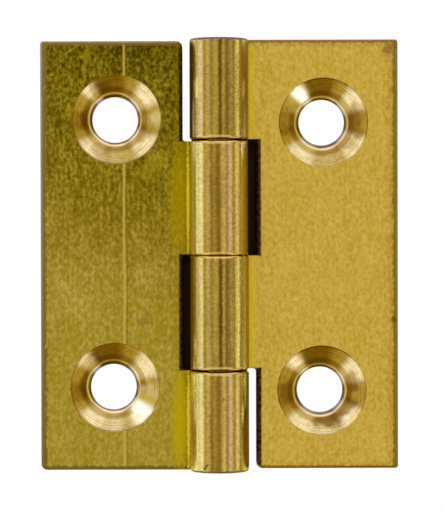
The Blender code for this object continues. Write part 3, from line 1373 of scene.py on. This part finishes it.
# Painted highlights: cream lines along the top of the barrel at the knuckles' ends, where the
# rounded lips catch the light.
KNUCKLE_LIP_HIGHLIGHTS = tuple(
    Mark(4.71, along, 1.65, 0.12, 0.0, "f8d490", 0.55) for along in (-8.17, 0.17, 7.83)
)
LEFT_SHEET = SheetFinish(
    name="tarnished_rolled_brass",
    shades=(
        (-14.0, "9e8818", "c1ab53"),
        (-3.1, "9c860c", "c5af5b"),
        (1.1, "876e00", "bea448"),
        (3.9, "6c5b00", "b49d30"),
        (13.5, "433700", "a89420"),
        (14.7, "362b00", "908114"),
    ),
    fleck=0.25,
    contrast=2.2,
    roughness=0.42,
    root_reflection_tint="988800",
    root_reflection_share=0.75,
    root_reflection_start=-3.4,
    clouds=0.3,
    slant=0.2,
    tarnish=1.6,
    rims=(
        Rim(0.5, 0.3, 0.8, "6e5626", "88743a"),
        Rim(0.2, 0.06, 0.85, "8a7c5c", "b8aa88"),
    ),
    end_share=0.7,
    die_line=6.65,
    marks=(
        Mark(-5.35, -4.55, 0.55, 0.28, 35.0, "8a6430", 0.4),
        Mark(-4.7, 6.3, 1.4, 0.7, 40.0, "b4a424", 0.3),
        Mark(-10.45, 14.3, 0.5, 0.05, 35.0, "b8a860", 0.5),
        Mark(-10.8, 7.0, 0.7, 0.05, -50.0, "b8a860", 0.5),
        # Painted reflection and highlight: yellow bands and a bright line on the sheet beside the
        # knuckles, where it reflects the barrel.
        Mark(-2.8, -11.6, 3.9, 0.6, 90.0, "c4ae00", 0.75),
        Mark(-2.9, 4.0, 4.4, 0.7, 90.0, "b49c00", 0.5),
        Mark(-2.17, 4.0, 4.6, 0.13, 90.0, "ecd840", 0.9),
        Mark(-2.17, -11.6, 4.2, 0.13, 90.0, "f4e048", 0.9),
    ),
)
RIGHT_SHEET = SheetFinish(
    name="satin_rolled_brass",
    shades=((-14.0, "be9c2a", "dbbf60"), (14.0, "be9c2a", "dbbf60")),
    fleck=0.24,
    contrast=2.3,
    roughness=0.4,
    root_reflection_tint="e0ca34",
    root_reflection_share=0.85,
    root_reflection_start=-2.9,
    clouds=0.08,
    slant=0.0,
    end_share=0.6,
    rims=(
        Rim(1.0, 0.3, 0.45, "a07830", "b8903c"),
        Rim(0.42, 0.25, 0.85, "80602e", "785a26"),
        Rim(0.19, 0.08, 0.8, "a89070", "9c8e74"),
    ),
    seed=31.0,
    marks=(
        Mark(-12.2, 4.6, 0.22, 0.3, 0.0, "5e4520", 0.8),
        Mark(-11.9, -14.4, 0.7, 0.4, 40.0, "7a5420", 0.6),
        Mark(-5.35, 3.15, 0.5, 0.07, 20.0, "e0c880", 0.6),
    ),
)
LEFT_KNUCKLE = KnuckleFinish(
    name="burnished_knuckle_brass_left",
    reflection_bands=(
        (-88.0, "a88a3e"),
        (-70.0, "72642a"),
        (-57.0, "ecd64c"),
        (-46.0, "957410"),
        (-35.5, "f7e6a2"),
        (-29.5, "f8eac4"),
        (-25.0, "f1dbba"),
        (-15.5, "9e7c34"),
        (-9.0, "d1b162"),
        (-1.0, "997d34"),
        (4.0, "8c7022"),
        (9.0, "a7893f"),
        (15.5, "8e6d1a"),
        (22.0, "cfb368"),
        (33.0, "e5d490"),
        (44.0, "cab76a"),
        (53.0, "fff094"),
        (72.0, "ffe618"),
        (88.0, "b8983e"),
    ),
    roughness=0.17,
    marks=KNUCKLE_LIP_HIGHLIGHTS
    + (
        # Painted reflection and shade: an olive tint down the lower knuckle's side towards its
        # leaf, and dark olive down its other side, over the white floor that it reflects.
        Mark(6.34, -11.6, 3.7, 0.3, 90.0, "a08400", 0.55),
        Mark(3.14, -11.6, 3.8, 0.34, 90.0, "745a00", 0.7),
        Mark(4.5, -9.9, 0.1, 0.1, 0.0, "4a3410", 0.6),
        Mark(5.43, -14.55, 0.32, 0.05, -60.0, "3a280c", 0.8),
        # Painted highlights: glints where the knuckles' sides reflect the bright countersinks.
        Mark(6.28, 7.4, 0.7, 0.13, 90.0, "fff4c8", 0.9),
        Mark(3.32, 7.4, 0.7, 0.13, 90.0, "fff4c8", 0.9),
        Mark(6.19, -10.9, 0.8, 0.13, 90.0, "fff4c8", 0.9),
        Mark(3.32, -10.9, 0.8, 0.13, 90.0, "f8e0a0", 0.9),
    ),
)
RIGHT_KNUCKLE = KnuckleFinish(
    name="burnished_knuckle_brass_right",
    reflection_bands=(
        (-88.0, "a88a3e"),
        (-70.0, "6b5820"),
        (-56.0, "d5c35c"),
        (-46.0, "ba9f58"),
        (-36.0, "d3c181"),
        (-24.0, "ceba73"),
        (-15.0, "9d7e2d"),
        (-8.5, "b09346"),
        (-2.5, "af953d"),
        (3.0, "5d4000"),
        (8.5, "b89949"),
        (15.0, "7c5a03"),
        (22.0, "a58a48"),
        (28.0, "e4dcc0"),
        (40.5, "f4e482"),
        (47.5, "705200"),
        (57.0, "fff07c"),
        (68.0, "c1a414"),
        (88.0, "b8983e"),
    ),
    roughness=0.17,
    marks=KNUCKLE_LIP_HIGHLIGHTS
    + (
        # Painted shade: olive down the upper knuckle's side towards its leaf, and dark brown down
        # its other side, over the reflections that the barrel shows there.
        Mark(6.16, -11.6, 3.9, 0.55, 90.0, "906c00", 0.62),
        Mark(6.3, -9.6, 2.0, 0.4, 90.0, "906c00", 0.45),
        Mark(2.95, -10.0, 2.8, 0.42, 90.0, "3c2c08", 0.65),
        # Painted highlights: glints where the knuckles' sides reflect the bright countersinks.
        Mark(3.42, -11.5, 0.8, 0.13, 90.0, "fce090", 0.9),
        Mark(6.2, -11.5, 0.8, 0.15, 90.0, "fff4b0", 0.8),
        Mark(3.24, 6.1, 0.7, 0.13, 90.0, "fff0c0", 0.8),
        Mark(6.2, 6.3, 0.7, 0.13, 90.0, "fff0b0", 0.7),
    ),
    seed=17.0,
)


def main() -> None:
    """Builds the hinge's pieces in order, then the studio round them."""
    logging.basicConfig(level=logging.INFO, format="%(name)s: %(message)s")
    pieces = (
        Leaf(
            "left_leaf_sheet",
            Side.LEFT,
            "left_leaf",
            "left",
            "left_leaf_brass",
            LEFT_SHEET,
            LEFT_KNUCKLE,
            EdgeFinish("sheared_edge_brass_left", "6b5a2e", "96885c"),
            EdgeFinish("shaded_slot_edge_brass_left", "3c2a0c", "a07c34"),
            EDGES.worn_corner,
            LEFT_CONE_SHEENS,
        ),
        Leaf(
            "right_leaf_sheet",
            Side.RIGHT,
            "right_leaf",
            "right",
            "right_leaf_brass",
            RIGHT_SHEET,
            RIGHT_KNUCKLE,
            EdgeFinish("sheared_edge_brass_right", "6e5a38", "96805a"),
            EdgeFinish("shaded_slot_edge_brass_right", "3c2c10", "a08040"),
            EDGES.crisp_corner,
            RIGHT_CONE_SHEENS,
            edges=EdgeSizes(slot_front=0.5),
        ),
        Pin(),
    )
    for piece in pieces:
        made = piece.build()
        log.info("%s has %d faces", made.name, len(made.data.polygons))
    Studio().build()


if __name__ == "__main__":
    main()
